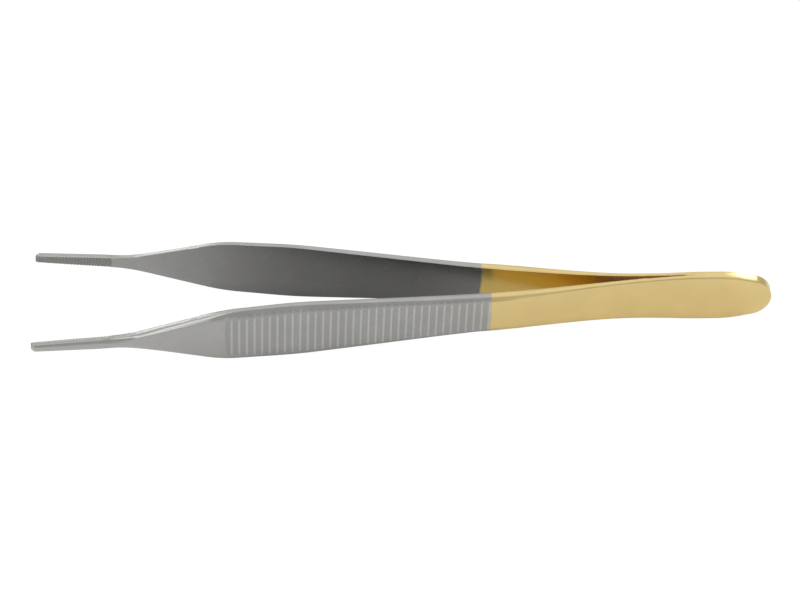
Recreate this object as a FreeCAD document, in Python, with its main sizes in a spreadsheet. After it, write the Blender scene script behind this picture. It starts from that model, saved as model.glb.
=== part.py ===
import FreeCAD, Part
import math
import os

from FreeCAD import Placement, Rotation, Vector
from Sketcher import Constraint

# Fine tissue forceps, 120 mm: two sprung steel arms welded together at the tail, each with a
# carbide jaw insert brazed into the inner side of its tip.
# Millimetres. X runs from the tips to the tail, Y is the opening direction, Z is the blade width.
# The far arm is modelled at +Y and mirrored for the near arm.

SIZES = {
    # Side view of one arm, as offsets from the plane in which the arms meet. A place along the
    # arm is given from the tips, and a run from the end of the tail.
    "overall_length": 120.0,
    "tip_gap": 19.4,
    "tip_thickness": 1.05,
    "nose_radius": 0.8,
    "neck_bend_at": 29.5,
    "neck_bend_gap": 15.2,
    "neck_bend_radius": 90.0,
    "neck_thickness": 1.22,
    "neck_back_radius": 50.0,
    "grip_rear_at": 75.0,
    "grip_rear_thickness": 1.5,
    "grip_rear_radius": 30.0,
    "weld_run": 21.2,
    "splay_radius": 190.0,
    "tail_back_run": 22.5,
    "tail_back_radius": 105.0,
    "tail_thickness": 0.8,
    # Plan of one arm, measured along it.
    "tip_width": 1.3,
    "tip_corner_radius": 0.6,
    "jaw_root_at": 15.3,
    "jaw_root_width": 2.12,
    "jaw_root_radius": 25.0,
    "shoulder_at": 30.35,
    "shoulder_width": 10.4,
    "shoulder_radius": 24.0,
    "crest_at": 42.4,
    "crest_width": 11.12,
    "crest_radius": 70.0,
    "waist_run": 39.01,
    "waist_width": 6.4,
    "waist_radius": 285.0,
    "tail_flare_run": 13.31,
    "tail_width": 9.4,
    "tail_flare_radius": 65.0,
    "tail_turn_run": 6.5,
    "tail_turn_radius": 18.0,
    "tail_end_width": 6.0,
    "tail_end_radius": 3.8,
    # Bevels on the long outer edges: the side edge left under the bevel, and the width
    # of the face between the two bevels at the level of their top plane.
    "tip_edge": 0.6,
    "tip_face_width": 0.16,
    "jaw_root_edge": 0.62,
    "jaw_root_face_width": 0.9,
    "shoulder_edge": 0.72,
    "shoulder_face_width": 6.7,
    "crest_edge": 0.78,
    "crest_face_width": 7.5,
    "waist_edge": 1.14,
    "waist_face_width": 4.1,
    "bevel_end_run": 19.41,
    "bevel_end_edge": 1.1,
    "bevel_end_face_width": 5.8,
    # Grip grooves, across the back of the arm.
    "first_groove_at": 1.8,
    "groove_pitch": 1.23,
    "groove_count": 35,
    "rib_width": 0.32,
    "groove_depth": 0.2,
    "groove_side_run": 0.18,
    # Jaw insert and its teeth.
    "insert_length": 12.4,
    "insert_thickness": 0.5,
    "braze_gap": 0.01,
    "first_tooth_at": 0.55,
    "tooth_pitch": 0.5,
    "tooth_count": 24,
    "tooth_depth": 0.13,
    "tooth_crest": 0.04,
    "tooth_row_pitch": 0.42,
    "tooth_row_count": 4,
    # Construction values: the height of the datum plane, how far blanks and cuts run past the
    # arm, and how far the bevels run past the thickest place.
    "datum_height": 1.2,
    "trim_margin": 0.5,
    "bevel_margin": 0.05,
}

doc = FreeCAD.newDocument("tissue_forceps")
sheet = doc.addObject("Spreadsheet::Sheet", "Sizes")
for row, (alias, number) in enumerate(SIZES.items(), start=1):
    sheet.set(f"A{row}", alias)
    sheet.set(f"B{row}", str(number))
    sheet.setAlias(f"B{row}", alias)
doc.recompute()


def size(name):
    """Expression that reads one cell of the sheet."""
    return f"Sizes.{name}"


def half(name):
    """Expression for half of one size."""
    return f"Sizes.{name} / 2"


def value(expression):
    """Number that an expression has now."""
    found = sheet.evalExpression(expression)
    return float(getattr(found, "Value", found))


# Lines that several features share. The datum plane lies parallel to the chord of the inner
# face, datum_height outside it, so levels above the datum are measured square to the arm.
SPLAY_AT = f"({size('overall_length')} - {size('weld_run')})"
TAIL_BACK_AT = f"({size('overall_length')} - {size('tail_back_run')})"
LEAN = f"atan({half('tip_gap')} / {SPLAY_AT})"
DATUM_Y = f"({half('tip_gap')} + {size('datum_height')} / cos({LEAN}))"
BOW = (f"(({half('neck_bend_gap')} - {half('tip_gap')}"
       f" * (1 - {size('neck_bend_at')} / {SPLAY_AT})) * cos({LEAN}))")
FRONT_LEAN = f"atan(({half('tip_gap')} - {half('neck_bend_gap')}) / {size('neck_bend_at')})"
BEND_BACK_Y = f"({half('neck_bend_gap')} + {size('neck_thickness')})"
REAR_BACK_Y = (f"({half('neck_bend_gap')} * ({SPLAY_AT} - {size('grip_rear_at')})"
               f" / ({SPLAY_AT} - {size('neck_bend_at')}) + {size('grip_rear_thickness')})")
GRIP_LEAN = (f"atan(({BEND_BACK_Y} - {REAR_BACK_Y})"
             f" / ({size('grip_rear_at')} - {size('neck_bend_at')}))")
TAIL_END = (f"(({size('overall_length')} + ({DATUM_Y} - {size('tail_thickness')}) * tan({LEAN}))"
            f" * cos({LEAN}))")
WAIST_AT = f"({TAIL_END} - {size('waist_run')})"
TAIL_FLARE_AT = f"({TAIL_END} - {size('tail_flare_run')})"
TAIL_TURN_AT = f"({TAIL_END} - {size('tail_turn_run')})"
BEVEL_END_AT = f"({TAIL_END} - {size('bevel_end_run')})"
TAIL_LEVEL = (f"({size('overall_length')} * sin({LEAN})"
              f" - ({DATUM_Y} - {size('tail_thickness')}) * cos({LEAN}) + {size('trim_margin')})")
TRIM_DEPTH = f"({size('datum_height')} + {size('trim_margin')})"
BEVEL_TOP = (f"({BOW} + {size('neck_thickness')} - {size('datum_height')}"
             f" + {size('bevel_margin')})")
BEVEL_BASE = f"({size('tip_edge')} - {size('datum_height')} - {size('bevel_margin')})"


def origin_plane(body, role):
    """One of a body's own origin planes."""
    return next(item for item in body.Origin.OriginFeatures if item.Role == role)


def new_body(name):
    """Empty body."""
    return doc.addObject("PartDesign::Body", name)


def new_sketch(body, name, role, shift=("0", "0", "0"), axis=Vector(0, 1, 0), turn="0"):
    """Sketch on an origin plane of the body, shifted and turned within that plane's frame."""
    sketch = body.newObject("Sketcher::SketchObject", name)
    sketch.AttachmentSupport = (origin_plane(body, role), [""])
    sketch.MapMode = "FlatFace"
    base = Vector(*(value(part) for part in shift))
    sketch.AttachmentOffset = Placement(base, Rotation(axis, value(turn)))
    for letter, part in zip("xyz", shift):
        sketch.setExpression(f"AttachmentOffset.Base.{letter}", part)
    sketch.setExpression("AttachmentOffset.Rotation.Angle", turn)
    return sketch


def pin_point(sketch, geometry, position, x_text, y_text):
    """Fix a point of the sketch at two expressions."""
    x_index = sketch.addConstraint(
        Constraint("DistanceX", -1, 1, geometry, position, value(x_text)))
    sketch.setExpression(f"Constraints[{x_index}]", x_text)
    y_index = sketch.addConstraint(
        Constraint("DistanceY", -1, 1, geometry, position, value(y_text)))
    sketch.setExpression(f"Constraints[{y_index}]", y_text)


def corner_arc(before, corner, after, radius):
    """Arc that rounds a corner, as its circle, end angles and whether it turns left."""
    inward = (corner - before).normalize()
    outward = (after - corner).normalize()
    turn = inward.getAngle(outward)
    left = inward.cross(outward).z > 0
    reach = radius * math.tan(turn / 2)
    start = corner - inward * reach
    end = corner + outward * reach
    side = Vector(-inward.y, inward.x, 0) * (radius if left else -radius)
    return start, end, start + side, left


def draw_profile(sketch, corners):
    """Closed profile with straight sides, and a tangent arc at each corner that has a radius.

    Each corner is (x expression, y expression, radius expression or None).
    """
    points = [Vector(value(x_text), value(y_text), 0) for x_text, y_text, _ in corners]
    count = len(corners)
    starts = list(points)
    ends = list(points)
    arcs = {}
    for index, (_, _, radius_text) in enumerate(corners):
        if radius_text:
            start, end, centre, left = corner_arc(
                points[index - 1], points[index], points[(index + 1) % count],
                value(radius_text))
            ends[index] = start
            starts[index] = end
            arcs[index] = (start, end, centre, left)
    sides = [
        sketch.addGeometry(Part.LineSegment(starts[index], ends[(index + 1) % count]), False)
        for index in range(count)
    ]
    for index, (x_text, y_text, radius_text) in enumerate(corners):
        side_in = sides[index - 1]
        side_out = sides[index]
        if not radius_text:
            sketch.addConstraint(Constraint("Coincident", side_in, 2, side_out, 1))
            pin_point(sketch, side_out, 1, x_text, y_text)
            continue
        start, end, centre, left = arcs[index]
        circle = Part.Circle(centre, Vector(0, 0, 1), value(radius_text))
        first, last = (start, end) if left else (end, start)
        arc = sketch.addGeometry(
            Part.ArcOfCircle(circle, circle.parameter(first), circle.parameter(last)), False)
        sketch.addConstraint(Constraint("Tangent", side_in, 2, arc, 1 if left else 2))
        sketch.addConstraint(Constraint("Tangent", side_out, 1, arc, 2 if left else 1))
        radius_index = sketch.addConstraint(Constraint("Radius", arc, value(radius_text)))
        sketch.setExpression(f"Constraints[{radius_index}]", radius_text)
        apex = sketch.addGeometry(Part.Point(points[index]), True)
        sketch.addConstraint(Constraint("PointOnObject", apex, 1, side_in))
        sketch.addConstraint(Constraint("PointOnObject", apex, 1, side_out))
        pin_point(sketch, apex, 1, x_text, y_text)


def both_edges(corners):
    """Corners of the upper edge from tip to tail, then of the lower edge back to the tip."""
    lower = [(x_text, f"-({y_text})", radius) for x_text, y_text, radius in reversed(corners)]
    return list(corners) + lower


def rectangle(x_low, y_low, x_high, y_high):
    """Corners of a plain rectangle."""
    return [(x_low, y_low, None), (x_high, y_low, None), (x_high, y_high, None),
            (x_low, y_high, None)]


def pad(body, sketch, length, far_length=None):
    """Pad on both sides of the sketch: length to its front, far_length to its back.

    Without far_length the pad is symmetric, length across.
    """
    feature = body.newObject("PartDesign::Pad", f"{sketch.Name}_pad")
    feature.Profile = sketch
    feature.SideType = "Two sides" if far_length else "Symmetric"
    feature.Length = value(length)
    feature.setExpression("Length", length)
    if far_length:
        feature.Length2 = value(far_length)
        feature.setExpression("Length2", far_length)
    sketch.Visibility = False
    return feature


def cut_through(body, sketch):
    """Pocket through the whole body, to both sides of the sketch."""
    feature = body.newObject("PartDesign::Pocket", f"{sketch.Name}_cut")
    feature.Profile = sketch
    feature.Type = "ThroughAll"
    feature.SideType = "Symmetric"
    sketch.Visibility = False
    return feature


def repeat_along(body, feature, sketch, axis, pitch, count):
    """Linear pattern of a feature along one axis of a sketch."""
    pattern = body.newObject("PartDesign::LinearPattern", f"{feature.Name}_row")
    pattern.Originals = [feature]
    pattern.Direction = (sketch, [axis])
    pattern.Mode = "Spacing"
    pattern.Offset = value(pitch)
    pattern.setExpression("Offset", pitch)
    pattern.Occurrences = int(value(count))
    pattern.setExpression("Occurrences", count)
    body.Tip = pattern
    return pattern


def datum_sketch(body, name, level="0"):
    """Sketch square to the arm, at a level above the datum plane."""
    shift = (f"({level}) * sin({LEAN})", "0", f"-({DATUM_Y} + ({level}) * cos({LEAN}))")
    return new_sketch(body, name, "XZ_Plane", shift, Vector(0, 1, 0), f"-{LEAN}")


# Plan of the arm, from tip to tail.
PLAN = (
    ("0", half("tip_width"), size("tip_corner_radius")),
    (size("jaw_root_at"), half("jaw_root_width"), size("jaw_root_radius")),
    (size("shoulder_at"), half("shoulder_width"), size("shoulder_radius")),
    (size("crest_at"), half("crest_width"), size("crest_radius")),
    (WAIST_AT, half("waist_width"), size("waist_radius")),
    (TAIL_FLARE_AT, half("tail_width"), size("tail_flare_radius")),
    (TAIL_TURN_AT, half("tail_width"), size("tail_turn_radius")),
    (TAIL_END, half("tail_end_width"), size("tail_end_radius")),
)


def edge_level(at, edge, before_bend):
    """Level above the datum where the bevel starts, an edge thickness above the inner face."""
    bend = size("neck_bend_at")
    place = f"{at} * cos({LEAN})"
    share = f"{place} / {bend}" if before_bend else f"({SPLAY_AT} - {place}) / ({SPLAY_AT} - {bend})"
    return f"({BOW} * ({share}) + {edge} - {size('datum_height')})"


def bevel_half_width(width, face_width, start_level, level):
    """Half width of the bevelled blank at a level, on the line of the bevel."""
    run = f"({width} - {face_width})"
    return f"({width} - {run} * (({level}) - {start_level}) / ({BEVEL_TOP} - {start_level}))"


def bevel_corners(level):
    """Corners of the bevelled blank's section at a level above the datum."""
    end_width = (f"({half('waist_width')} + ({half('tail_width')} - {half('waist_width')})"
                 f" * ({BEVEL_END_AT} - {WAIST_AT}) / ({TAIL_FLARE_AT} - {WAIST_AT}))")
    front = f"-{size('trim_margin')}"
    stations = (
        ("tip", front, half("tip_width"), None, True),
        ("jaw_root", size("jaw_root_at"), half("jaw_root_width"), size("jaw_root_radius"), True),
        ("shoulder", size("shoulder_at"), half("shoulder_width"), size("shoulder_radius"), False),
        ("crest", size("crest_at"), half("crest_width"), size("crest_radius"), False),
        ("waist", WAIST_AT, half("waist_width"), size("waist_radius"), False),
        ("bevel_end", BEVEL_END_AT, end_width, None, False),
    )
    corners = []
    for name, at, width, radius, before_bend in stations:
        start_level = edge_level(at, size(f"{name}_edge"), before_bend)
        y_text = bevel_half_width(width, half(f"{name}_face_width"), start_level, level)
        corners.append((at, y_text, radius))
    return corners


# Profile blank: the arm's side view, padded across the blade, with its grooves and seat.
profile_blank = new_body("arm_side_profile")
side_sketch = new_sketch(profile_blank, "side_view", "XY_Plane")
PAST_TAIL = f"{size('overall_length')} + {size('trim_margin')}"
draw_profile(side_sketch, [
    ("0", half("tip_gap"), None),
    (size("neck_bend_at"), half("neck_bend_gap"), size("neck_bend_radius")),
    (SPLAY_AT, "0", size("splay_radius")),
    (PAST_TAIL, "0", None),
    (PAST_TAIL, size("tail_thickness"), None),
    (TAIL_BACK_AT, size("tail_thickness"), size("tail_back_radius")),
    (size("grip_rear_at"), REAR_BACK_Y, size("grip_rear_radius")),
    (size("neck_bend_at"), BEND_BACK_Y, size("neck_back_radius")),
    ("0", f"{half('tip_gap')} + {size('tip_thickness')}", size("nose_radius")),
])
pad(profile_blank, side_sketch, f"{size('crest_width')} + {size('trim_margin')}")
doc.recompute()

GROOVE_HALF = f"(({size('groove_pitch')} - {size('rib_width')}) / 2)"
GROOVE_FLOOR_HALF = f"({GROOVE_HALF} - {size('groove_side_run')})"
groove_sketch = new_sketch(
    profile_blank, "groove", "XY_Plane", (size("neck_bend_at"), BEND_BACK_Y, "0"),
    Vector(0, 0, 1), f"-{GRIP_LEAN}")
SIDE_SLOPE = f"({size('groove_side_run')} / {size('groove_depth')})"
GROOVE_MOUTH_HALF = f"({GROOVE_HALF} + {SIDE_SLOPE} * {size('trim_margin')})"
draw_profile(groove_sketch, [
    (f"{size('first_groove_at')} - {GROOVE_FLOOR_HALF}", f"-{size('groove_depth')}", None),
    (f"{size('first_groove_at')} + {GROOVE_FLOOR_HALF}", f"-{size('groove_depth')}", None),
    (f"{size('first_groove_at')} + {GROOVE_MOUTH_HALF}", size("trim_margin"), None),
    (f"{size('first_groove_at')} - {GROOVE_MOUTH_HALF}", size("trim_margin"), None),
])
groove = cut_through(profile_blank, groove_sketch)
doc.recompute()
repeat_along(profile_blank, groove, groove_sketch, "H_Axis", size("groove_pitch"),
             size("groove_count"))
doc.recompute()

seat_sketch = new_sketch(
    profile_blank, "insert_seat", "XY_Plane", ("0", half("tip_gap"), "0"),
    Vector(0, 0, 1), f"-{FRONT_LEAN}")
draw_profile(seat_sketch, rectangle(
    f"-{size('trim_margin')}", f"-{size('trim_margin')}",
    f"{size('insert_length')} + {size('braze_gap')}",
    f"{size('insert_thickness')} + {size('braze_gap')}"))
cut_through(profile_blank, seat_sketch)
doc.recompute()

# Plan blank: the arm's plan, padded square to the datum plane.
plan_blank = new_body("arm_plan")
plan_sketch = datum_sketch(plan_blank, "plan_view")
draw_profile(plan_sketch, both_edges(PLAN))
pad(plan_blank, plan_sketch, TRIM_DEPTH, TAIL_LEVEL)
doc.recompute()

# Bevelled blank: ruled bevels along both long edges, on a plain base that reaches past the
# inner face, and a plain block round the tail.
bevel_blank = new_body("arm_bevels")
low_sketch = datum_sketch(bevel_blank, "bevel_base", BEVEL_BASE)
draw_profile(low_sketch, both_edges(bevel_corners(BEVEL_BASE)))
high_sketch = datum_sketch(bevel_blank, "bevel_top", BEVEL_TOP)
draw_profile(high_sketch, both_edges(bevel_corners(BEVEL_TOP)))
bevels = bevel_blank.newObject("PartDesign::AdditiveLoft", "bevel_loft")
bevels.Profile = low_sketch
bevels.Sections = [high_sketch]
bevels.Ruled = True
doc.recompute()
pad(bevel_blank, low_sketch, f"{TRIM_DEPTH} + {BEVEL_BASE}", size("bevel_margin"))
doc.recompute()

tail_sketch = datum_sketch(bevel_blank, "tail_block")
TAIL_HALF = f"({half('tail_width')} + {size('trim_margin')})"
draw_profile(tail_sketch, rectangle(
    f"{BEVEL_END_AT} - {size('trim_margin')}", f"-{TAIL_HALF}",
    f"{TAIL_END} + {size('trim_margin')}", TAIL_HALF))
pad(bevel_blank, tail_sketch, TRIM_DEPTH, TAIL_LEVEL)
doc.recompute()

# Insert blank: a plate in the seat.
insert_blank = new_body("insert_side_profile")
insert_sketch = new_sketch(
    insert_blank, "insert_side", "XY_Plane", ("0", half("tip_gap"), "0"),
    Vector(0, 0, 1), f"-{FRONT_LEAN}")
draw_profile(insert_sketch, rectangle("0", "0", size("insert_length"), size("insert_thickness")))
pad(insert_blank, insert_sketch, f"{size('jaw_root_width')} + {size('trim_margin')}")
doc.recompute()

# Teeth: V grooves across the insert, then V grooves along it, which leave rows of points.
CROSS_MOUTH = (f"(({size('tooth_pitch')} - {size('tooth_crest')}) / 2"
               f" * (1 + {size('trim_margin')} / {size('tooth_depth')}))")
cross_sketch = new_sketch(
    insert_blank, "cross_groove", "XY_Plane", ("0", half("tip_gap"), "0"),
    Vector(0, 0, 1), f"-{FRONT_LEAN}")
draw_profile(cross_sketch, [
    (size("first_tooth_at"), size("tooth_depth"), None),
    (f"{size('first_tooth_at')} - {CROSS_MOUTH}", f"-{size('trim_margin')}", None),
    (f"{size('first_tooth_at')} + {CROSS_MOUTH}", f"-{size('trim_margin')}", None),
])
cross_groove = cut_through(insert_blank, cross_sketch)
doc.recompute()
repeat_along(insert_blank, cross_groove, cross_sketch, "H_Axis", size("tooth_pitch"),
             size("tooth_count"))
doc.recompute()

FIRST_ROW = f"(-{size('tooth_row_pitch')} * ({size('tooth_row_count')} - 1) / 2)"
ROW_MOUTH = (f"(({size('tooth_row_pitch')} - {size('tooth_crest')}) / 2"
             f" * (1 + {size('trim_margin')} / {size('tooth_depth')}))")
row_sketch = new_sketch(
    insert_blank, "row_groove", "YZ_Plane", (half("tip_gap"), "0", "0"),
    Vector(0, 1, 0), f"-{FRONT_LEAN}")
draw_profile(row_sketch, [
    (size("tooth_depth"), FIRST_ROW, None),
    (f"-{size('trim_margin')}", f"{FIRST_ROW} + {ROW_MOUTH}", None),
    (f"-{size('trim_margin')}", f"{FIRST_ROW} - {ROW_MOUTH}", None),
])
row_groove = cut_through(insert_blank, row_sketch)
doc.recompute()
repeat_along(insert_blank, row_groove, row_sketch, "V_Axis", size("tooth_row_pitch"),
             size("tooth_row_count"))
doc.recompute()

# The far arm and its insert, then their mirror images.
far_arm = doc.addObject("Part::MultiCommon", "far_arm")
far_arm.Shapes = [profile_blank, plan_blank, bevel_blank]
far_insert = doc.addObject("Part::MultiCommon", "far_jaw_insert")
far_insert.Shapes = [insert_blank, plan_blank]
doc.recompute()

# The origin is under the middle of the forceps, which lies on its narrow edges.
lowest = far_arm.Shape.optimalBoundingBox().ZMin
place = Placement(Vector(-value(half("overall_length")), 0, -lowest), Rotation())
far_arm.Placement = place
far_insert.Placement = place
nodes = [far_arm, far_insert]
for source, name in ((far_arm, "near_arm"), (far_insert, "near_jaw_insert")):
    mirror = doc.addObject("Part::Mirroring", name)
    mirror.Source = source
    mirror.Base = Vector(0, 0, 0)
    mirror.Normal = Vector(0, 1, 0)
    nodes.append(mirror)
doc.recompute()

for item in doc.Objects:
    if "Invalid" in item.State or "Error" in item.State:
        raise RuntimeError(f"{item.Name} failed: {item.State}")

os.makedirs("parts", exist_ok=True)
for node in nodes:
    node.Label = node.Name
    shape = node.Shape
    if shape.isNull() or not shape.isValid() or len(shape.Solids) != 1:
        raise RuntimeError(f"{node.Name} is not one valid solid")
    shape.exportStep(f"parts/{node.Label}.step")
    box = shape.optimalBoundingBox()
    print(f"{node.Label}: {shape.Volume:.2f} mm3, {len(shape.Faces)} faces, X {box.XMin:.3f} to"
          f" {box.XMax:.3f}, Y {box.YMin:.3f} to {box.YMax:.3f}, Z {box.ZMin:.3f} to {box.ZMax:.3f}")
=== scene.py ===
import logging
import math
from collections.abc import Callable, Sequence
from dataclasses import dataclass, field
from enum import Enum

import bmesh
import bpy
from mathutils import Matrix, Vector


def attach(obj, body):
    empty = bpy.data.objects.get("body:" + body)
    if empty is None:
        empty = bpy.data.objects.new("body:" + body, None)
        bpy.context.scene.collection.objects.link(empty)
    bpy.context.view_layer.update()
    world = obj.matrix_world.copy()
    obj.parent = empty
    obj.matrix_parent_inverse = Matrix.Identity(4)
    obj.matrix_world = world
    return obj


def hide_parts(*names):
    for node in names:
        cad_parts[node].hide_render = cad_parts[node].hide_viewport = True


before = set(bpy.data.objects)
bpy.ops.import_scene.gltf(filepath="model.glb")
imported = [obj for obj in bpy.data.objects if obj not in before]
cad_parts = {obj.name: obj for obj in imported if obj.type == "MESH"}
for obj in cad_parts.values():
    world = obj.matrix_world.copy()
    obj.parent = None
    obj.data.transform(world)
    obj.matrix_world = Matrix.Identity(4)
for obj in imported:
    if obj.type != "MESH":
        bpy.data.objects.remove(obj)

logging.basicConfig(level=logging.INFO, format="%(message)s")
LOG = logging.getLogger("forceps")

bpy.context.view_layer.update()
MM = 0.001

Pair = tuple[float, float]
Table = tuple[Pair, ...]
Corner = tuple[float, float, float]
Shade = tuple[float, float, float]
Socket = bpy.types.NodeSocket


class Side(Enum):
    """Which of the two arms a piece belongs to, as its sign along Y."""

    NEAR = -1
    FAR = 1


class Course(Enum):
    """How a value runs between the two ends of a range."""

    SOFT = "SMOOTHSTEP"
    STRAIGHT = "LINEAR"


@dataclass(frozen=True)
class RoundedLine:
    """A line of straight runs with a tangent arc at each corner, as a height over a length.

    Each corner is a length, a height and the radius of its arc, all in millimetres.
    """

    corners: tuple[Corner, ...]

    def arc(self, index: int) -> tuple[Vector, Vector, Vector, float]:
        """Arc that rounds one corner.

        Args:
            index: Number of the corner.

        Returns:
            Start, end and centre of the arc, and 1 for a left turn or -1 for a right turn.
        """
        before, corner, after = (Vector(self.corners[i][:2]) for i in (index - 1, index, index + 1))
        radius = self.corners[index][2]
        inward = (corner - before).normalized()
        outward = (after - corner).normalized()
        turn = inward.cross(outward)
        reach = radius * math.tan(abs(math.asin(turn)) / 2)
        hand = 1.0 if turn > 0 else -1.0
        start = corner - inward * reach
        centre = start + Vector((-inward.y, inward.x)) * radius * hand
        return start, corner + outward * reach, centre, hand

    def at(self, length: float) -> float:
        """Height at a length.

        Args:
            length: Place along the line, in millimetres.

        Returns:
            Height of the line there, in millimetres.
        """
        for index in range(1, len(self.corners) - 1):
            radius = self.corners[index][2]
            start, end, centre, hand = self.arc(index)
            if start.x < length < end.x:
                return centre.y - hand * math.sqrt(radius ** 2 - (length - centre.x) ** 2)
        return interpolate([(x, y) for x, y, _ in self.corners], length)


def interpolate(points: Sequence[Pair], place: float) -> float:
    """Value of a broken line.

    Args:
        points: Places and values, in rising order of place.
        place: Where the value is wanted.

    Returns:
        The value there, held level past both ends.
    """
    if place <= points[0][0]:
        return points[0][1]
    for (low, first), (high, last) in zip(points, points[1:]):
        if place <= high:
            return first + (last - first) * (place - low) / (high - low)
    return points[-1][1]


def smoothstep(low: float, high: float, place: float) -> float:
    """Smooth rise between two places.

    Args:
        low: Place where the rise starts.
        high: Place where it ends.
        place: Where the value is wanted.

    Returns:
        The value there, from 0 to 1.
    """
    share = min(max((place - low) / (high - low), 0.0), 1.0)
    return share * share * (3 - 2 * share)


@dataclass
class Blade:
    """Sizes and surfaces of one arm, in millimetres from the tips and the middle plane.

    A place along the arm is measured parallel to the chord of its inner face, and a level is
    measured square to that chord, from a datum just outside the inner face. The plans give
    half widths, the front one at places and the tail one at runs from the end of the tail.
    """

    length: float = 120.0
    half_height: float = 5.497
    past_end: float = 0.5
    datum_height: float = 1.2
    tip_gap: float = 9.7
    tip_thickness: float = 1.05
    tip_corner: float = 0.6
    nose_radius: float = 0.8
    bend_at: float = 29.5
    bend_gap: float = 7.6
    bend_thickness: float = 1.22
    bend_radius: float = 90.0
    bend_back_radius: float = 50.0
    rear_at: float = 75.0
    rear_thickness: float = 1.5
    rear_back_radius: float = 30.0
    splay_at: float = 98.8
    splay_radius: float = 190.0
    tail_back_at: float = 97.5
    tail_back_radius: float = 105.0
    tail_thickness: float = 0.8
    tail_corner: float = 3.8
    front_plan: tuple[Corner, ...] = (
        (0.0, 0.65, 0.0), (15.3, 1.06, 25.0), (30.35, 5.2, 24.0), (42.4, 5.56, 70.0),
        (81.4, 3.2, 285.0))
    tail_plan: tuple[Corner, ...] = ((13.31, 4.7, 65.0), (6.5, 4.7, 18.0), (0.0, 3.0, 0.0))
    seat_end: float = 12.53
    seat_depth: float = 0.51
    first_groove: float = 1.8
    groove_pitch: float = 1.23
    groove_count: int = 35
    groove_half: float = 0.565
    groove_depth: float = 0.15
    groove_end_shares: Pair = (0.3, 0.7)
    flank_run: float = 0.26
    bevel_depths: Table = (
        (0, 0.12), (11, 0.2), (15, 0.42), (18, 0.56), (23, 0.6), (27, 0.58), (31, 0.5),
        (42.4, 0.5), (51, 0.45), (62, 0.44), (72, 0.42), (79, 0.15), (84, 0.12))
    bevel_widths: Table = (
        (0, 0.36), (11, 0.56), (15, 1.05), (18, 1.4), (21, 1.75), (26, 1.95), (30, 1.9),
        (34, 1.6), (41, 1.5), (51, 1.25), (57, 0.95), (66, 0.85), (76, 0.75), (82, 0.5),
        (100, 0.42), (120, 0.45))
    soft_shares: Table = (
        (0, 0.0), (12, 0.1), (17, 1.0), (29, 1.0), (32, 0.4), (35, 0.0), (82, 0.0), (90, 0.4))
    soft_facets: Table = ((0.0, 1.0), (0.086, 0.66), (0.27, 0.16))
    level_rounds: int = 6
    lean: float = field(init=False)
    datum: float = field(init=False)
    bend_back: float = field(init=False)
    grip_lean: float = field(init=False)
    tail_end: float = field(init=False)
    inner: RoundedLine = field(init=False)
    back: RoundedLine = field(init=False)
    plan: RoundedLine = field(init=False)

    def __post_init__(self) -> None:
        """Work out the lean of the arm and its three outlines."""
        self.lean = math.atan(self.tip_gap / self.splay_at)
        self.datum = self.tip_gap + self.datum_height / math.cos(self.lean)
        self.bend_back = self.bend_gap + self.bend_thickness
        rear_gap = self.bend_gap * (self.splay_at - self.rear_at) / (self.splay_at - self.bend_at)
        rear_back = rear_gap + self.rear_thickness
        self.grip_lean = math.atan((self.bend_back - rear_back) / (self.rear_at - self.bend_at))
        end = self.length + self.past_end
        self.inner = RoundedLine((
            (0.0, self.tip_gap, 0.0), (self.bend_at, self.bend_gap, self.bend_radius),
            (self.splay_at, 0.0, self.splay_radius), (end, 0.0, 0.0)))
        self.back = RoundedLine((
            (0.0, self.tip_gap + self.tip_thickness, 0.0),
            (self.bend_at, self.bend_back, self.bend_back_radius),
            (self.rear_at, rear_back, self.rear_back_radius),
            (self.tail_back_at, self.tail_thickness, self.tail_back_radius),
            (end, self.tail_thickness, 0.0)))
        self.tail_end = self.along(self.length, self.tail_thickness)
        self.plan = RoundedLine(self.front_plan + tuple(
            (self.tail_end - run, half, radius) for run, half, radius in self.tail_plan))

    def along(self, x: float, y: float) -> float:
        """Place along the arm of a point of the side view.

        Args:
            x: Distance from the tips.
            y: Distance from the middle plane.

        Returns:
            The place.
        """
        return x * math.cos(self.lean) - (y - self.datum) * math.sin(self.lean)

    def point(self, place: float, level: float) -> Pair:
        """Point of the side view at a place and level.

        Args:
            place: Place along the arm.
            level: Level above the datum.

        Returns:
            Distances from the tips and from the middle plane.
        """
        x = place * math.cos(self.lean) + level * math.sin(self.lean)
        y = self.datum - place * math.sin(self.lean) + level * math.cos(self.lean)
        return x, y

    def back_height(self, x: float) -> float:
        """Height of the outer face in the side view, with the rounded nose.

        Args:
            x: Distance from the tips.

        Returns:
            Distance of the outer face from the middle plane.
        """
        radius = self.nose_radius
        if x >= radius:
            return self.back.at(x)
        centre = self.back.at(radius) - radius
        return centre + math.sqrt(max(radius ** 2 - (radius - max(x, 0.0)) ** 2, 0.0))

    def level_of(self, height: Callable[[float], float], place: float) -> float:
        """Level at which the line square to the arm meets a curve of the side view.

        Args:
            height: Function that gives the curve's height at a distance from the tips.
            place: Place along the arm.

        Returns:
            The level there.
        """
        level = 0.0
        for _ in range(self.level_rounds):
            x, _ = self.point(place, level)
            level = (height(x) - self.datum + place * math.sin(self.lean)) / math.cos(self.lean)
        return level

    def inner_level(self, place: float) -> float:
        """Level of the inner side, which is cut back for the seat of the insert.

        Args:
            place: Place along the arm.

        Returns:
            The level there, before the seat is cut.
        """
        return self.level_of(self.inner.at, place)

    def tail_arc(self) -> tuple[Vector, Vector, Vector, float]:
        """Arc that rounds the end of the tail in the plan.

        Returns:
            Start, end and centre of the arc and its hand, as RoundedLine.arc gives them.
        """
        before, corner = self.plan.corners[-2:]
        return RoundedLine((before, (corner[0], corner[1], self.tail_corner),
                            (corner[0], 0.0, 0.0))).arc(1)

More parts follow.
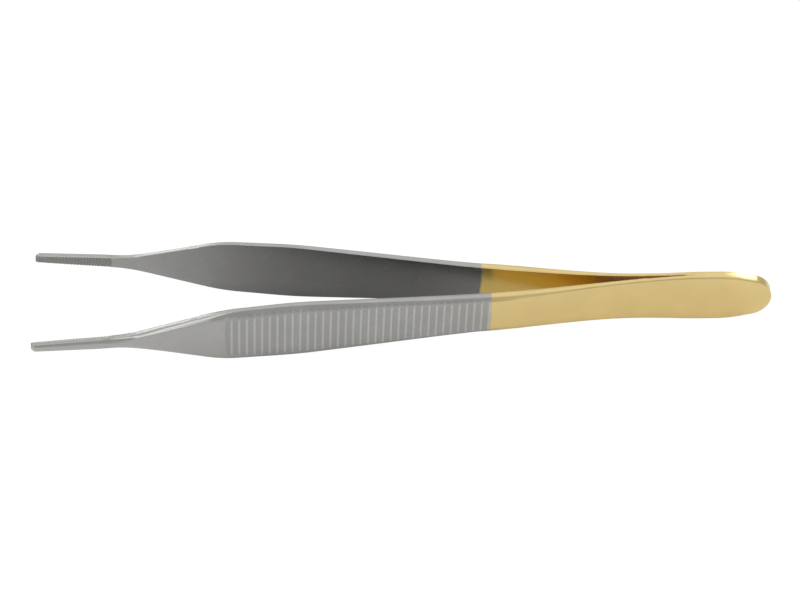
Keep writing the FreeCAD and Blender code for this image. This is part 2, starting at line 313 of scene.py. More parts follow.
    def groove_places(self) -> list[float]:
        """Middles of the grooves.

        Returns:
            Their places along the arm, in rising order.
        """
        found = []
        for number in range(self.groove_count):
            run = self.first_groove + self.groove_pitch * number
            found.append(self.along(self.bend_at + run * math.cos(self.grip_lean),
                                    self.bend_back - run * math.sin(self.grip_lean)))
        return found

    def groove_share(self, place: float) -> float:
        """How deep a groove is cut at a place.

        Args:
            place: Place along the arm.

        Returns:
            Share of the groove's depth, 0 between two grooves and 1 on a floor.
        """
        first = self.groove_places()[0]
        nearest = round((place - first) / self.groove_pitch)
        nearest = min(max(nearest, 0), self.groove_count - 1)
        off = abs(place - first - nearest * self.groove_pitch)
        return 1 - smoothstep(self.groove_half - self.flank_run, self.groove_half, off)

    def rib_or_floor(self, place: float) -> float:
        """Which part of the grip a place belongs to.

        Args:
            place: Place along the arm.

        Returns:
            1 on a groove's floor, -1 on a rib between two grooves and 0 outside the grip.
        """
        places = self.groove_places()
        if not places[0] - self.groove_half < place < places[-1] + self.groove_half:
            return 0.0
        return 2 * self.groove_share(place) - 1

    def bevel_depth(self, place: float) -> float:
        """Depth of the bevel below the outer face at the outline.

        Args:
            place: Place along the arm.

        Returns:
            The depth.
        """
        return interpolate(self.bevel_depths, place)

    def bevel_width(self, place: float) -> float:
        """Width of the bevel, out to where it meets the outer face.

        Args:
            place: Place along the arm.

        Returns:
            The width.
        """
        return interpolate(self.bevel_widths, place)

    def softness(self, place: float) -> float:
        """How far the bevel is blended into the outer face.

        Args:
            place: Place along the arm.

        Returns:
            0 for one flat facet, up to 1 for two steep facets and a soft one.
        """
        return interpolate(self.soft_shares, place)

    def groove_end(self, place: float) -> float:
        """Where the floor of a groove runs out into the bevel.

        Args:
            place: Place along the arm.

        Returns:
            Share of the bevel's width that lies outside the end of the floor.
        """
        low, high = self.groove_end_shares
        return min(max(1 - self.groove_depth / self.bevel_depth(place), low), high)

    def bevel_left(self, place: float, share: float) -> float:
        """Share of the bevel's depth that is left at a share of its width.

        Args:
            place: Place along the arm.
            share: Distance in from the outline over the bevel's width.

        Returns:
            1 at the outline, falling to 0 at the outer face.
        """
        share = min(share, 1.0)
        steep_end, left = self.soft_facets[-1]
        if share < steep_end:
            soft = interpolate(self.soft_facets, share)
        else:
            soft = left * ((1 - share) / (1 - steep_end)) ** 2
        softness = self.softness(place)
        return (1 - share) * (1 - softness) + soft * softness

    def surface_level(self, place: float, off: float) -> float:
        """Level of the finished outer side.

        Args:
            place: Place along the arm.
            off: Distance in from the outline.

        Returns:
            The level there, with the bevels and grooves.
        """
        face = self.level_of(self.back_height, place)
        left = self.bevel_left(place, off / self.bevel_width(place))
        floor = face - self.groove_depth * self.groove_share(place)
        return min(face - self.bevel_depth(place) * left, floor)


@dataclass
class Arm:
    """One sprung arm of the forceps, ready to stand for its plain solid.

    Lengths are in millimetres. The stations are rows along the arm, each with its first place,
    their spacing and their number. The soft rings are shares of the bevel's width.
    """

    side: Side
    blade: Blade
    edge_break: float = 0.05
    seam_break: float = 0.07
    break_segments: int = 2
    least_edge_angle: float = 0.3
    thinnest: float = 0.04
    weld_end: float = 106.0
    seam_start: float = 30.0
    seam_gap: float = 0.35
    wall_run: float = 0.02
    tail_clearance: float = 0.1
    nose_steps: int = 6
    tail_steps: int = 18
    stations: tuple[tuple[float, float, int], ...] = ((0.45, 0.15, 8), (2.0, 0.7, 41),
                                                      (74.2, 0.8, 52))
    flank_shares: tuple[float, ...] = (0.0, 0.33, 0.67, 1.0)
    support: float = 0.05
    widest_bevel: float = 0.85
    soft_rings: tuple[float, ...] = (0.7, 0.42, 0.27, 0.18, 0.086, 0.0)
    inner_ring: float = 0.12
    floor_share: float = 0.9
    weld_distance: float = 0.002
    sliver: float = 0.001

    @property
    def node(self) -> str:
        """Name of the plain solid that the arm stands for."""
        return f"{self.side.name.lower()}_arm"

    def outline(self) -> list[tuple[float, float, float]]:
        """Upper outline from the middle of the nose to the middle of the tail.

        Returns:
            Place, half width and the place of the middle point that it faces, one for each
            station along the arm.
        """
        blade = self.blade
        corner = blade.tip_corner
        centre = blade.plan.at(corner) - corner
        points = [(0.0, 0.0, corner), (0.0, centre, corner)]
        for step in range(1, self.nose_steps):
            angle = math.pi * (1 - step / (2 * self.nose_steps))
            points.append((corner + corner * math.cos(angle),
                           centre + corner * math.sin(angle), corner))
        places = {round(first + gap * step, 4)
                  for first, gap, count in self.stations for step in range(count)}
        for middle in blade.groove_places():
            for share in self.flank_shares:
                half = blade.groove_half - blade.flank_run * share
                places |= {round(middle - half, 4), round(middle + half, 4)}
        places |= {blade.seat_end - self.wall_run, blade.seat_end}
        start, end, centre, _ = blade.tail_arc()
        chosen = sorted(place for place in places
                        if corner <= place < start.x - self.tail_clearance)
        points += [(place, blade.plan.at(place), min(place, centre.x)) for place in chosen]
        spoke = start - centre
        sweep = spoke.angle_signed(end - centre)
        for step in range(self.tail_steps + 1):
            turned = centre + Matrix.Rotation(-sweep * step / self.tail_steps, 2) @ spoke
            points.append((turned.x, turned.y, centre.x))
        points.append((blade.tail_end, 0.0, centre.x))
        return points

    def rings(self, place: float, half_width: float) -> list[tuple[float, bool]]:
        """Distances in from the outline, round the section from the back to the inner face.

        Args:
            place: Place along the arm.
            half_width: Distance from the outline to the middle point.

        Returns:
            Distance and whether the ring lies on the outer side, for each ring.
        """
        blade = self.blade
        border = min(blade.bevel_width(place), self.widest_bevel * half_width)
        end = border * blade.groove_end(place)
        step = min(self.support, 0.1 * border)
        rim = min(2 * step, end / 4)
        flat = (border - step, (border + end) / 2, end, end / 2, rim, 0.0)
        softness = blade.softness(place)
        outer = [half_width, (border + half_width) / 2, border + step]
        outer += [plain * (1 - softness) + soft * border * softness
                  for plain, soft in zip(flat, self.soft_rings)]
        inner = [0.0, min(self.inner_ring, 0.3 * half_width), half_width / 2, half_width]
        return [(off, True) for off in outer] + [(off, False) for off in inner]

    def lay_half(self, mesh: bmesh.types.BMesh) -> set[frozenset[bmesh.types.BMVert]]:
        """Lay the upper half as a grid, with a column at each station and a row for each ring.

        Args:
            mesh: Empty mesh with the arm's layers.

        Returns:
            Two groups of vertices: along the outer edge, and along the inner edge up to the weld.
        """
        blade = self.blade
        grooved = mesh.verts.layers.float["groove"]
        inward = mesh.faces.layers.float["inner_side"]
        outline = self.outline()
        reaches = [math.hypot(facing - place, height) for place, height, facing in outline]
        rings = [self.rings(station[0], reach) for station, reach in zip(outline, reaches)]
        columns = len(outline) - 1
        rows = len(rings[0]) - 1
        bmesh.ops.create_grid(mesh, x_segments=columns, y_segments=rows, size=1.0)
        outer_edge: set[bmesh.types.BMVert] = set()
        inner_edge: set[bmesh.types.BMVert] = set()
        inside: set[bmesh.types.BMVert] = set()
        for vertex in mesh.verts:
            column = round((vertex.co.x + 1) / 2 * columns)
            row = round((vertex.co.y + 1) / 2 * rows)
            place, height, facing = outline[column]
            off, outside = rings[column][row]
            share = off / reaches[column]
            at = place + (facing - place) * share
            level = blade.inner_level(at)
            if place < blade.seat_end - self.wall_run / 2:
                level += blade.seat_depth
            if outside:
                level = max(blade.surface_level(at, off), level + self.thinnest)
                if off > self.floor_share * blade.groove_end(place) * blade.bevel_width(place):
                    vertex[grooved] = blade.rib_or_floor(at)
            else:
                inside.add(vertex)
            x, y = blade.point(at, level)
            vertex.co = Vector((max(x, 0.0) - blade.length / 2, y, height * (1 - share))) * MM
            if off == 0.0 and outside:
                outer_edge.add(vertex)
            elif off == 0.0 and x < self.weld_end:
                inner_edge.add(vertex)
        for face in mesh.faces:
            face[inward] = float(all(vertex in inside for vertex in face.verts))
        return {frozenset(outer_edge), frozenset(inner_edge)}

    def break_edges(self, mesh: bmesh.types.BMesh) -> None:
        """Break the long edges with small bevels, and mark those along the seam.

        Args:
            mesh: Closed mesh of the arm, with its long edges marked.
        """
        marked = mesh.edges.layers.float["long_edge"]
        seam_layer = mesh.faces.layers.float["seam"]
        chosen = [edge for edge in mesh.edges if edge[marked] > 0.5 and len(edge.link_faces) == 2
                  and edge.calc_face_angle(0.0) > self.least_edge_angle]
        seam = {edge for edge in chosen
                if all(abs(vertex.co.y) < self.seam_gap * MM
                       and vertex.co.x > self.seam_start * MM for vertex in edge.verts)}
        rest = [edge for edge in chosen if edge not in seam]
        along_seam = [edge for edge in chosen if edge in seam]
        for edges, offset in ((rest, self.edge_break), (along_seam, self.seam_break)):
            made = bmesh.ops.bevel(
                mesh, geom=[edge for edge in edges if edge.is_valid], offset=offset * MM,
                offset_type="OFFSET", affect="EDGES", segments=self.break_segments, profile=0.5,
                material=-1, clamp_overlap=True)
        for face in made["faces"]:
            face[seam_layer] = 1.0

    def build(self) -> bpy.types.Object:
        """Model the arm.

        Returns:
            The finished piece.
        """
        mesh = bmesh.new()
        marked = mesh.edges.layers.float.new("long_edge")
        mesh.verts.layers.float.new("groove")
        mesh.faces.layers.float.new("inner_side")
        mesh.faces.layers.float.new("seam")
        groups = self.lay_half(mesh)
        mirrored = bmesh.ops.duplicate(mesh, geom=mesh.verts[:] + mesh.edges[:] + mesh.faces[:])
        twins = mirrored["vert_map"]
        copies = [item for item in mirrored["geom"] if isinstance(item, bmesh.types.BMVert)]
        bmesh.ops.scale(mesh, vec=(1, 1, -1), verts=copies)
        both = [group | {twins[vertex] for vertex in group} for group in groups]
        for edge in mesh.edges:
            if any(all(vertex in group for vertex in edge.verts) for group in both):
                edge[marked] = 1.0
        bmesh.ops.remove_doubles(mesh, verts=mesh.verts[:], dist=self.weld_distance * MM)
        bmesh.ops.dissolve_degenerate(mesh, dist=self.sliver * MM, edges=mesh.edges[:])
        bmesh.ops.recalc_face_normals(mesh, faces=mesh.faces[:])
        self.break_edges(mesh)
        bmesh.ops.translate(mesh, vec=(0, 0, self.blade.half_height * MM), verts=mesh.verts[:])
        bmesh.ops.scale(mesh, vec=(1, self.side.value, 1), verts=mesh.verts[:])
        bmesh.ops.recalc_face_normals(mesh, faces=mesh.faces[:])
        return finished(mesh, f"{self.node}_blade")


def finished(mesh: bmesh.types.BMesh, name: str, crease: float = 24.0) -> bpy.types.Object:
    """Turn a mesh into an object with smooth faces and creases at its sharp edges.

    Args:
        mesh: The mesh, in metres at its final place.
        name: Name of the piece.
        crease: Angle in degrees above which an edge stays sharp.

    Returns:
        The new object, linked to the scene.
    """
    for face in mesh.faces:
        face.smooth = True
    for edge in mesh.edges:
        edge.smooth = edge.calc_face_angle(0.0) < math.radians(crease)
    data = bpy.data.meshes.new(name)
    mesh.to_mesh(data)
    mesh.free()
    piece = bpy.data.objects.new(name, data)
    bpy.context.scene.collection.objects.link(piece)
    return piece


class Nodes:
    """Short hand for adding and joining shader nodes."""

    def __init__(self, tree: bpy.types.NodeTree) -> None:
        """Keep a node tree.

        Args:
            tree: The tree that the nodes go into.
        """
        self.tree = tree

    def add(self, kind: str, **values: object) -> bpy.types.Node:
        """Add a node and set its properties.

        Args:
            kind: Node type without the ShaderNode prefix.
            **values: Properties of the node by name.

        Returns:
            The new node.
        """
        node = self.tree.nodes.new("ShaderNode" + kind)
        for key, value in values.items():
            setattr(node, key, value)
        return node

    def link(self, source: Socket, target: Socket) -> None:
        """Join two sockets.

        Args:
            source: The output.
            target: The input.
        """
        self.tree.links.new(source, target)

    def feed(self, slot: Socket, value: object) -> None:
        """Give an input its value.

        Args:
            slot: The input.
            value: An output to join to it, or a number or colour.
        """
        if isinstance(value, Socket):
            self.link(value, slot)
        else:
            slot.default_value = value

    def math(self, operation: str, first: Socket | float, second: Socket | float = 0.0) -> Socket:
        """Result of a sum.

        Args:
            operation: Name of the operation.
            first: Socket or number.
            second: Socket or number.

        Returns:
            The output socket.
        """
        node = self.add("Math", operation=operation)
        self.feed(node.inputs[0], first)
        self.feed(node.inputs[1], second)
        return node.outputs[0]

    def ramp(self, value: Socket, over: Pair, result: Pair, course: Course) -> Socket:
        """Map a value from one range to another.

        Args:
            value: Socket to map.
            over: Range of the value.
            result: What the two ends of the range give.
            course: How the result runs between them.

        Returns:
            The output socket.
        """
        node = self.add("MapRange", interpolation_type=course.value)
        self.link(value, node.inputs["Value"])
        for name, number in zip(("From Min", "From Max", "To Min", "To Max"), over + result):
            node.inputs[name].default_value = number
        return node.outputs["Result"]

    def split(self, vector: Socket) -> tuple[Socket, Socket, Socket]:
        """Take a vector apart.

        Args:
            vector: Socket with the vector.

        Returns:
            Its X, Y and Z.
        """
        node = self.add("SeparateXYZ")
        self.link(vector, node.inputs[0])
        return tuple(node.outputs)

    def blend(self, share: Socket, first: Socket | tuple, second: Socket | tuple) -> Socket:
        """Mix of two colours.

        Args:
            share: Socket, 0 for the first colour and 1 for the second.
            first: Socket or colour.
            second: Socket or colour.

        Returns:
            The output socket.
        """
        node = self.add("Mix", data_type="RGBA")
        for slot, value in zip((node.inputs[0], *node.inputs[6:8]), (share, first, second)):
            self.feed(slot, value)
        return node.outputs[2]

    def between(self, share: Socket, first: Socket, second: Socket) -> Socket:
        """Mix of two numbers.

        Args:
            share: Socket, 0 for the first number and 1 for the second.
            first: Socket with the first number.
            second: Socket with the second number.

        Returns:
            The output socket.
        """
        node = self.add("Mix", data_type="FLOAT")
        for slot, value in zip((node.inputs[0], *node.inputs[2:4]), (share, first, second)):
            self.feed(slot, value)
        return node.outputs[0]

    def tint(self, source: Socket, share: Socket) -> Socket:
        """Darker or lighter copy of a colour.

        Args:
            source: Socket with the colour.
            share: Socket with the brightness that is kept.

        Returns:
            The output socket.
        """
        node = self.add("Mix", data_type="RGBA", blend_type="MULTIPLY")
        node.inputs[0].default_value = 1.0
        self.link(source, node.inputs[6])
        self.link(share, node.inputs[7])
        return node.outputs[2]

    def curve(self, value: Socket, points: Table) -> Socket:
        """Broken line over a value.

        Args:
            value: Socket with the place.
            points: Places and results, in rising order of place.

        Returns:
            The output socket.
        """
        low, high = points[0][0], points[-1][0]
        ramp = self.add("ValToRGB")
        ramp.color_ramp.interpolation = "LINEAR"
        elements = ramp.color_ramp.elements
        while len(elements) < len(points):
            elements.new(0.5)
        for element, (place, level) in zip(elements, points):
            element.position = (place - low) / (high - low)
            element.color = grey(level)
        self.link(self.ramp(value, (low, high), (0.0, 1.0), Course.STRAIGHT), ramp.inputs[0])
        return ramp.outputs["Color"]

    def bump(self, height: Socket, strength: float, distance: float) -> Socket:
        """Roughen the surface a little.

        Args:
            height: Socket with the height.
            strength: How strongly it shows.
            distance: Height of its full range, in millimetres.

        Returns:
            The new normal.
        """
        node = self.add("Bump")
        node.inputs["Strength"].default_value = strength
        node.inputs["Distance"].default_value = distance * MM
        self.link(height, node.inputs["Height"])
        return node.outputs["Normal"]


def colour(shade: Shade, share: float = 1.0) -> tuple[float, float, float, float]:
    """Opaque colour for a socket.

    Args:
        shade: Red, green and blue.
        share: Brightness that is kept.

    Returns:
        The colour.
    """
    red, green, blue = (share * part for part in shade)
    return red, green, blue, 1.0


def grey(level: float) -> tuple[float, float, float, float]:
    """Opaque grey for a socket.

    Args:
        level: How light it is, where 1 is white.

    Returns:
        The colour.
    """
    return colour((level, level, level))


def new_material(name: str) -> tuple[bpy.types.Material, Nodes, bpy.types.Node]:
    """Start a material.

    Args:
        name: Its name.

    Returns:
        The material, the hand for its nodes and its shader.
    """
    material = bpy.data.materials.new(name)
    material.use_nodes = True
    return material, Nodes(material.node_tree), material.node_tree.nodes["Principled BSDF"]


def blasted_grain() -> bpy.types.ShaderNodeTree:
    """Node group for blasted metal: fine pits, and cloudy patches from hand finishing.

    Returns:
        The group, with the outputs Pits and Cloud, both between 0 and 1.
    """
    group = bpy.data.node_groups.new("blasted_grain", "ShaderNodeTree")
    for name, kind in (("Coordinates", "NodeSocketVector"), ("Pit scale", "NodeSocketFloat"),
                       ("Cloud scale", "NodeSocketFloat")):
        group.interface.new_socket(name, in_out="INPUT", socket_type=kind)
    for name in ("Pits", "Cloud"):
        group.interface.new_socket(name, in_out="OUTPUT", socket_type="NodeSocketFloat")
    nodes = Nodes(group)
    entry = group.nodes.new("NodeGroupInput")
    leave = group.nodes.new("NodeGroupOutput")
    for scale, detail, result in (("Pit scale", 3.0, "Pits"), ("Cloud scale", 2.0, "Cloud")):
        noise = nodes.add("TexNoise")
        noise.inputs["Detail"].default_value = detail
        noise.inputs["Roughness"].default_value = 0.55
        nodes.link(entry.outputs["Coordinates"], noise.inputs["Vector"])
        nodes.link(entry.outputs[scale], noise.inputs["Scale"])
        nodes.link(noise.outputs["Fac"], leave.inputs[result])
    return group


@dataclass(frozen=True)
class Grain:
    """Use of the blasted grain in one material. The cloud's range is its usual spread."""

    group: bpy.types.ShaderNodeTree
    pit_scale: float
    cloud_scale: float
    cloud_range: Pair = (0.3, 0.7)

    def place(self, nodes: Nodes, coordinates: Socket) -> tuple[Socket, Socket]:
        """Add the grain to a material.

        Args:
            nodes: Hand for the material's nodes.
            coordinates: Object coordinates.

        Returns:
            The pits and the cloud.
        """
        node = nodes.add("Group", node_tree=self.group)
        node.inputs["Pit scale"].default_value = self.pit_scale
        node.inputs["Cloud scale"].default_value = self.cloud_scale
        nodes.link(coordinates, node.inputs["Coordinates"])
        return node.outputs["Pits"], node.outputs["Cloud"]


@dataclass(frozen=True)
class ArmFinish:
    """Satin steel with a gold-plated rear, as one material with a soft plating line.

    Places along X and runs are in millimetres from the middle of the forceps.
    """

    name: str
    plating_at: float
    grain: Grain
    plating_blur: float = 0.25
    plating_wander: float = 0.6
    steel: Shade = (0.46, 0.455, 0.44)
    steel_spread: float = 0.04
    steel_roughness: Pair = (0.23, 0.29)
    gold: Shade = (0.80, 0.62, 0.28)
    gold_spread: float = 0.03
    gold_roughness: Pair = (0.20, 0.25)
    # Gold of the inner side, darkened as painted shade.
    inner_gold_painted_shade: Shade = (0.82, 0.62, 0.215)
    # Redder gold in the corner where the arms meet, a painted reflection of gold on gold, over this
    # run along X.
    corner_gold_painted_reflection: Shade = (0.72, 0.40, 0.11)
    painted_reflection_run: Pair = (30.0, 38.0)
    corner_dulled_run: Pair = (28.0, 42.0)
    corner_dulling: float = 0.6
    braze: Shade = (0.40, 0.38, 0.27)
    braze_at: float = -47.9
    braze_run: Pair = (0.3, 1.4)
    braze_weights: Pair = (0.1, 0.45)
    upright_range: Pair = (0.3, 0.8)
    # Painted highlight on the rib crests and painted shade on the groove floors, as brightness
    # factors.
    rib_painted_highlight: float = 1.25
    groove_floor_painted_shade: float = 0.88
    # Painted shade on the seam faces between the two arms.
    seam_painted_shade: float = 0.5
    bump: Pair = (0.08, 0.02)
    # Painted shade on the inner side between the arms, as brightness along X, darkest along the
    # grip.
    inner_painted_shade: Table = (
        (-60.0, 0.84), (-40.5, 0.78), (-32.4, 0.72), (-25.7, 0.59), (-17.5, 0.48),
        (-6.0, 0.42), (2.0, 0.42), (12.0, 0.56))

    def steel_colour(self, nodes: Nodes, tone: Socket, inner: Socket, x: Socket) -> Socket:
        """Colour of the bare steel, with a painted highlight on the ribs, painted shade on the
        groove floors and painted shade on the inner side, darkest along the grip.

        Args:
            nodes: Hand for the material's nodes.
            tone: Cloud between 0 and 1.
            inner: 1 on the inner side.
            x: Place along X, in metres.

        Returns:
            The output socket.
        """
        steel = nodes.blend(tone, colour(self.steel, 1 - self.steel_spread),
                            colour(self.steel, 1 + self.steel_spread))
        groove = nodes.add("Attribute", attribute_name="groove").outputs["Fac"]
        # The ribs get a painted highlight and the groove floors painted shade.
        rib = nodes.ramp(groove, (-1.0, 0.0), (self.rib_painted_highlight, 1.0), Course.STRAIGHT)
        floor = nodes.ramp(groove, (0.0, 1.0), (1.0, self.groove_floor_painted_shade), Course.STRAIGHT)
        grip_with_painted_light = nodes.tint(steel, nodes.math("MULTIPLY", rib, floor))
        # Painted shade on the inner side, read along X.
        shade = nodes.curve(x, tuple((place * MM, level) for place, level in self.inner_painted_shade))
        return nodes.blend(inner, grip_with_painted_light, nodes.tint(steel, shade))

    def gold_colour(self, nodes: Nodes, tone: Socket, inner: Socket, x: Socket) -> Socket:
        """Colour of the plating; on the inner side it is darker with painted shade, and redder with
        a painted reflection of gold on gold in the narrow corner where the arms meet.

        Args:
            nodes: Hand for the material's nodes.
            tone: Cloud between 0 and 1.
            inner: 1 on the inner side.
            x: Place along X, in metres.

        Returns:
            The output socket.
        """
        gold = nodes.blend(tone, colour(self.gold, 1 - self.gold_spread),
                           colour(self.gold, 1 + self.gold_spread))
        # Inside the arms the gold gets painted shade, turning to a redder painted reflection in the
        # corner.
        corner = nodes.ramp(x, metres(self.painted_reflection_run), (0.0, 1.0), Course.SOFT)
        inside_gold_painted_light = nodes.blend(corner, colour(self.inner_gold_painted_shade), colour(self.corner_gold_painted_reflection))
        return nodes.blend(inner, gold, inside_gold_painted_light)

    def braze_share(self, nodes: Nodes, x: Socket, normal: Socket) -> Socket:
        """How much braze shows near the end of the insert.

        Args:
            nodes: Hand for the material's nodes.
            x: Place along X, in metres.
            normal: Normal of the surface.

        Returns:
            The output socket.
        """
        off = nodes.math("ABSOLUTE", nodes.math("SUBTRACT", x, self.braze_at * MM))
        tilt = nodes.math("ABSOLUTE", nodes.split(normal)[2])
        weight = nodes.ramp(tilt, self.upright_range, self.braze_weights, Course.SOFT)
        near = nodes.ramp(off, metres(self.braze_run), (1.0, 0.0), Course.SOFT)
        return nodes.math("MULTIPLY", weight, near)

    def material(self) -> bpy.types.Material:
        """Make the material.

        Returns:
            The material.
        """
        material, nodes, shader = new_material(self.name)
        coordinates = nodes.add("TexCoord")
        place = coordinates.outputs["Object"]
        pits, cloud = self.grain.place(nodes, place)
        x = nodes.split(place)[0]
        wander = nodes.math("MULTIPLY", nodes.math("SUBTRACT", cloud, 0.5),
                            self.plating_wander * MM)
        line = (self.plating_at - self.plating_blur, self.plating_at + self.plating_blur)
        plated = nodes.ramp(nodes.math("ADD", x, wander), metres(line), (0.0, 1.0), Course.SOFT)
        tone = nodes.ramp(cloud, self.grain.cloud_range, (0.0, 1.0), Course.STRAIGHT)
        inner = nodes.add("Attribute", attribute_name="inner_side").outputs["Fac"]
        seam = nodes.add("Attribute", attribute_name="seam").outputs["Fac"]
        metal = nodes.blend(plated, self.steel_colour(nodes, tone, inner, x),
                            self.gold_colour(nodes, tone, inner, x))
        brazed = nodes.blend(self.braze_share(nodes, x, coordinates.outputs["Normal"]), metal,
                             colour(self.braze))
        # The seam faces between the arms get painted shade.
        seam_shade = nodes.ramp(seam, (0.0, 1.0), (1.0, self.seam_painted_shade), Course.SOFT)
        nodes.link(nodes.tint(brazed, seam_shade), shader.inputs["Base Color"])
        dulled = nodes.ramp(x, metres(self.corner_dulled_run), (0.0, self.corner_dulling),
                            Course.SOFT)
        nodes.link(nodes.math("SUBTRACT", 1.0, nodes.math("MULTIPLY", inner, dulled)),
                   shader.inputs["Metallic"])
        rough = nodes.between(plated, *(
            nodes.ramp(cloud, self.grain.cloud_range, span, Course.STRAIGHT)
            for span in (self.steel_roughness, self.gold_roughness)))
        nodes.link(rough, shader.inputs["Roughness"])
        nodes.link(nodes.bump(pits, *self.bump), shader.inputs["Normal"])
        return material


def metres(run: Pair) -> Pair:
    """Two lengths in metres.

    Args:
        run: The lengths in millimetres.

    Returns:
        The lengths in metres.
    """
    return run[0] * MM, run[1] * MM


@dataclass(frozen=True)
class CarbideFinish:
    """Ground carbide: darker and rougher than the steel round it, with painted light on the sides
    that face up and down and painted shade on the faces that look straight across.
    """

    grain: Grain
    tone: Shade = (0.345, 0.34, 0.33)
    spread: float = 0.15
    # Paler colour of the sides that face up and down: painted light.
    side_painted_light: Shade = (0.5, 0.497, 0.48)
    facing_range: Pair = (0.9, 0.98)
    # Faces that look straight across are painted darker than the tilted tooth flanks: painted
    # shade.
    facing_painted_shades: Pair = (0.96, 0.9)
    roughness: Pair = (0.62, 0.72)
    metallic: float = 0.7
    bump: Pair = (0.12, 0.02)

    def material(self) -> bpy.types.Material:
        """Make the material.

        Returns:
            The material.
        """
        material, nodes, shader = new_material("ground_carbide")
        shader.inputs["Metallic"].default_value = self.metallic
        coordinates = nodes.add("TexCoord")
        pits, cloud = self.grain.place(nodes, coordinates.outputs["Object"])
        tone = nodes.blend(cloud, colour(self.tone, 1 - self.spread),
                           colour(self.tone, 1 + self.spread))
        _, across, up = nodes.split(coordinates.outputs["Normal"])
        # Painted light on the sides facing up and down, painted shade on faces looking straight
        # across.
        side = nodes.ramp(nodes.math("ABSOLUTE", up), self.facing_range, (0.0, 1.0), Course.SOFT)
        facing_shade = nodes.ramp(nodes.math("ABSOLUTE", across), self.facing_range, self.facing_painted_shades,
                           Course.SOFT)
        nodes.link(nodes.blend(side, nodes.tint(tone, facing_shade), colour(self.side_painted_light)),
                   shader.inputs["Base Color"])
        nodes.link(nodes.ramp(cloud, self.grain.cloud_range, self.roughness, Course.STRAIGHT),
                   shader.inputs["Roughness"])
        nodes.link(nodes.bump(pits, *self.bump), shader.inputs["Normal"])
        return material


@dataclass
class Forceps:
    """Both arms with their finishes, and the jaw inserts in theirs.

    The plating of each arm starts at its own place along X, in millimetres.
    """

    blade: Blade = field(default_factory=Blade)
    platings: tuple[tuple[Side, float], ...] = ((Side.NEAR, 13.8), (Side.FAR, 12.7))
    inserts: tuple[str, ...] = ("near_jaw_insert", "far_jaw_insert")
    steel_grain: Pair = (9000.0, 260.0)
    carbide_grain: Pair = (14000.0, 900.0)

    def build(self) -> None:
        """Model the arms and dress the inserts."""
        group = blasted_grain()
        for side, plating_at in self.platings:
            arm = Arm(side, self.blade)
            piece = arm.build()
            finish = ArmFinish(f"{arm.node}_metal", plating_at, Grain(group, *self.steel_grain))
            piece.data.materials.append(finish.material())
            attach(piece, "root")
            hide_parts(arm.node)
            LOG.info("%s: %d faces", piece.name, len(piece.data.polygons))
        carbide = CarbideFinish(Grain(group, *self.carbide_grain)).material()
        for node in self.inserts:
            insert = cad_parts[node]
            insert.data.materials.clear()
            insert.data.materials.append(carbide)
            LOG.info("%s: dressed", node)


@dataclass(frozen=True)
class Lamp:
    """Soft rectangular lamp that faces the object.

    The place and the two sides are in metres. The radiance is the brightness of its face,
    where 1 is a white seen as white.
    """

    name: str
    place: tuple[float, float, float]
    size: Pair
    radiance: float

    def hang(self) -> None:
        """Add the lamp to the scene."""
        data = bpy.data.lights.new(self.name, "AREA")
        data.shape = "RECTANGLE"
        data.size, data.size_y = self.size
        data.energy = self.radiance * math.pi * self.size[0] * self.size[1]
        lamp = bpy.data.objects.new(self.name, data)
        turn = Vector(self.place).to_track_quat("Z", "Y").to_matrix().to_4x4()
        lamp.matrix_world = Matrix.Translation(self.place) @ turn
        bpy.context.scene.collection.objects.link(lamp)


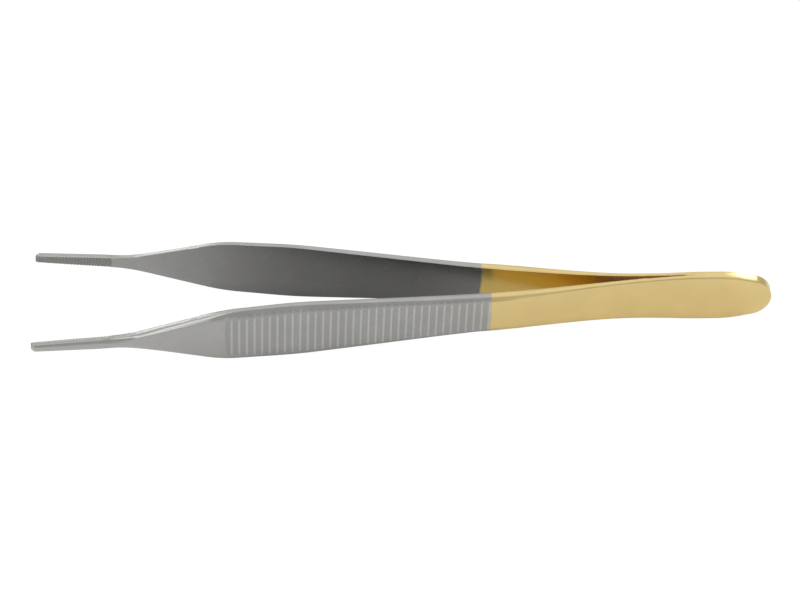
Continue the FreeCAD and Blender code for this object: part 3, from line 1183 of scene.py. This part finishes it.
@dataclass
class Studio:
    """Pale floor, soft lights and the camera.

    Angles are in degrees and lengths in metres, apart from the lens in millimetres. The floor
    is a bright strip under the forceps and a duller sheet beyond it, and the camera sees it as
    even white.
    """

    azimuth: float = -4.54
    elevation: float = 45.0
    roll: float = -2.65
    distance: float = 0.49594
    lens: float = 137.27
    film_width: float = 36.0
    nearest: float = 0.01
    target: tuple[float, float, float] = (-0.000712, 0.0, 0.00506)
    room: float = 0.57
    floor_half: float = 2.5
    strip_border: Pair = (0.018, 0.032)
    strip_tone: float = 0.9
    sheet_tone: float = 0.57
    seen_tone: float = 0.06
    seen_glow: float = 0.97
    floor_roughness: float = 0.9
    lamps: tuple[Lamp, ...] = (
        Lamp("overhead", (0.0, 0.0, 1.2), (1.0, 0.6), 2.0),
        Lamp("back_sky", (0.0, 0.8, 0.8), (1.6, 0.6), 0.37),
        Lamp("front", (0.0, -0.82, 0.74), (1.6, 0.36), 1.2),
        Lamp("left_back", (-0.5, 0.75, 0.55), (0.35, 0.35), 1.25),
        Lamp("right_back", (0.48, 0.75, 0.5), (0.2, 0.25), 4.2))

    def floor(self) -> None:
        """Lay the floor."""
        mesh = bmesh.new()
        bmesh.ops.create_grid(mesh, x_segments=1, y_segments=1, size=self.floor_half)
        piece = finished(mesh, "studio_floor")
        material, nodes, shader = new_material("studio_white")
        shader.inputs["Roughness"].default_value = self.floor_roughness
        shader.inputs["Specular IOR Level"].default_value = 0.0
        shader.inputs["Emission Strength"].default_value = self.seen_glow
        seen = nodes.add("LightPath").outputs["Is Camera Ray"]
        away = nodes.split(nodes.add("TexCoord").outputs["Object"])[1]
        sheet = nodes.ramp(nodes.math("ABSOLUTE", away), self.strip_border, (0.0, 1.0),
                           Course.SOFT)
        plain = nodes.blend(sheet, grey(self.strip_tone), grey(self.sheet_tone))
        nodes.link(nodes.blend(seen, plain, grey(self.seen_tone)), shader.inputs["Base Color"])
        nodes.link(nodes.blend(seen, grey(0.0), grey(1.0)), shader.inputs["Emission Color"])
        piece.data.materials.append(material)

    def sky(self) -> None:
        """Fill the room with even pale light."""
        world = bpy.data.worlds.new("pale_room")
        bpy.context.scene.world = world
        world.use_nodes = True
        back = world.node_tree.nodes["Background"]
        back.inputs["Color"].default_value = grey(1.0)
        back.inputs["Strength"].default_value = self.room

    def camera(self) -> None:
        """Set the camera at the viewing angle of the photograph."""
        azimuth, elevation, roll = (math.radians(angle) for angle in
                                    (self.azimuth, self.elevation, self.roll))
        right = Vector((math.cos(azimuth), math.sin(azimuth), 0.0))
        ahead = Vector((-math.sin(azimuth) * math.cos(elevation),
                        math.cos(azimuth) * math.cos(elevation), -math.sin(elevation)))
        up = right.cross(ahead)
        x_axis = right * math.cos(roll) - up * math.sin(roll)
        y_axis = right * math.sin(roll) + up * math.cos(roll)
        turn = Matrix((x_axis, y_axis, -ahead)).transposed().to_4x4()
        data = bpy.data.cameras.new("camera")
        data.lens = self.lens
        data.sensor_width = self.film_width
        data.clip_start = self.nearest
        camera = bpy.data.objects.new("camera", data)
        camera.matrix_world = Matrix.Translation(Vector(self.target) - ahead * self.distance) @ turn
        bpy.context.scene.collection.objects.link(camera)
        bpy.context.scene.camera = camera

    def build(self) -> None:
        """Set up the whole studio."""
        self.floor()
        self.sky()
        for lamp in self.lamps:
            lamp.hang()
        self.camera()


def main() -> None:
    """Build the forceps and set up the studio."""
    bpy.context.scene.view_settings.view_transform = "Standard"
    Forceps().build()
    Studio().build()


if __name__ == "__main__":
    main()
